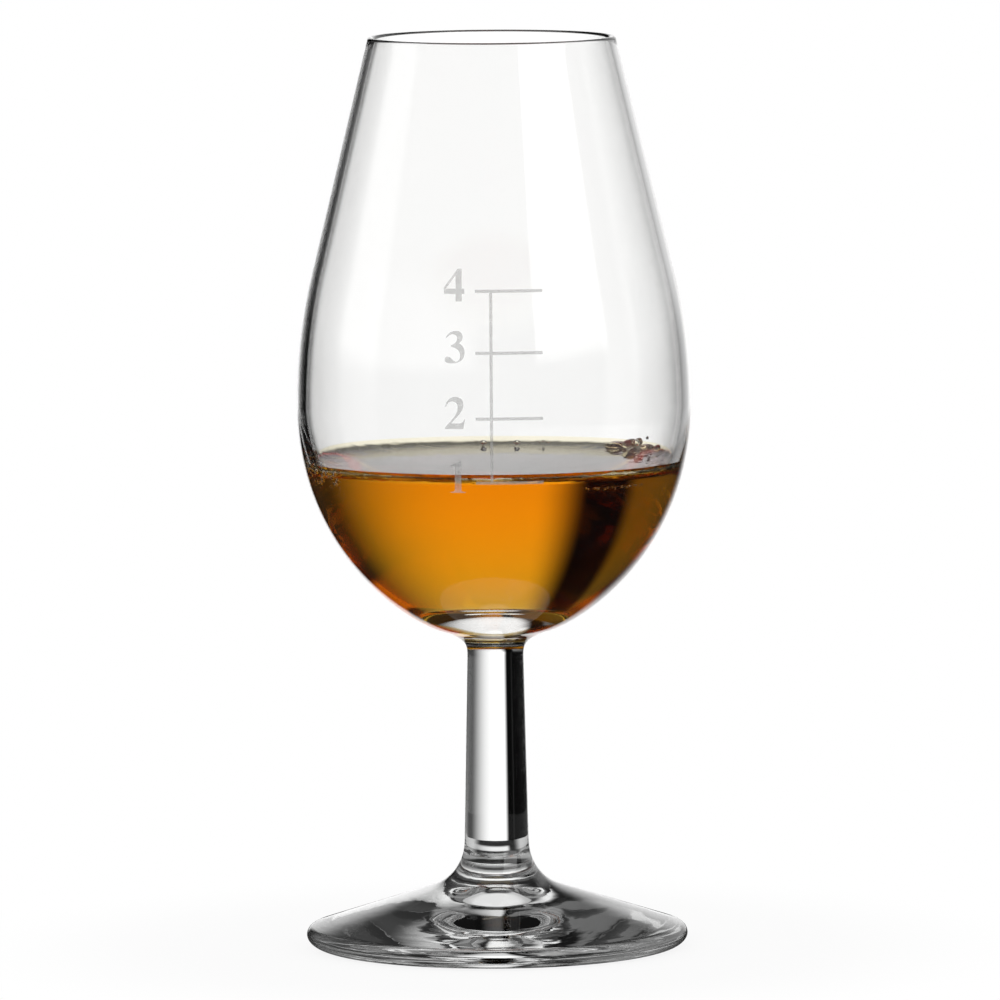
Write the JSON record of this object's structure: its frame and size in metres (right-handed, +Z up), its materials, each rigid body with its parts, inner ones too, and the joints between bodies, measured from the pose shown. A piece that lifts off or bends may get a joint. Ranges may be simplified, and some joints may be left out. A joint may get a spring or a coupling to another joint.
{
  "type": "whisky nosing glass",
  "caption": "Stemmed tulip-shaped tasting glass with a narrowing mouth, a solid stem, a flared round foot, an enamel scale with numerals on the bowl and a measure of whisky inside.",
  "frame": {"origin": "middle of the flat ring under the foot that the glass stands on", "axes": "+Z up the axis of the glass from the foot to the rim, -Y towards the side of the bowl that carries the scale"},
  "size_m": [0.066, 0.0661, 0.153],
  "materials": {
    "blown_glass": "polished",
    "solid_glass": "polished",
    "whisky": "polished",
    "enamel": "satin"
  },
  "bodies": {
    "glass": {"bowl": "blown_glass", "stem": "solid_glass", "foot": "solid_glass", "scale_ladder": "enamel", "numeral_1": "enamel", "numeral_2": "enamel", "numeral_3": "enamel", "numeral_4": "enamel"},
    "whisky": {"whisky": "whisky"}
  },
  "joints": [
    {"name": "whisky_swirl", "type": "hinge", "parent": "glass", "child": "whisky", "pos_m": [0, 0, 0.082], "axis": [0, 0, 1], "continuous": true}
  ]
}
